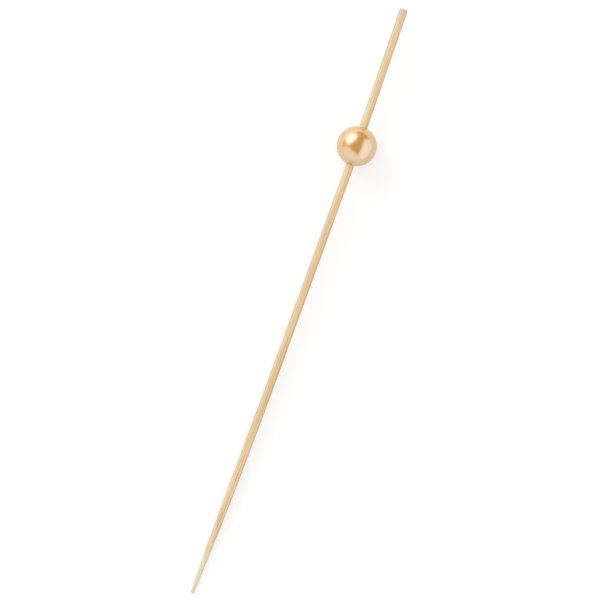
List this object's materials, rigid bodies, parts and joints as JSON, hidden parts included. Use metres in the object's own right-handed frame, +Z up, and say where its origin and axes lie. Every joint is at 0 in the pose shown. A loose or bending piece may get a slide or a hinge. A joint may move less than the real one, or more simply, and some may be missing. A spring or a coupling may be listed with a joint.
{
  "type": "cocktail pick",
  "caption": "Long round bamboo pick, ground to a blunt point, with a glossy gold pearl bead glued on near the butt; spears fruit or finger food.",
  "frame": {"origin": "middle of the overall box, on the table that the pick lies on", "axes": "+X along the pick towards the butt, with the point at -X; +Z up from the table; the stick's slight bends turn towards +Y"},
  "size_m": [0.15, 0.0096, 0.0097],
  "materials": {
    "bamboo": "plain sanded bamboo, fine straight fibre",
    "gold_pearl": "glossy gold pearl lacquer"
  },
  "bodies": {
    "root": {"bamboo_stick": "bamboo", "pearl_bead": "gold_pearl"}
  },
  "joints": []
}
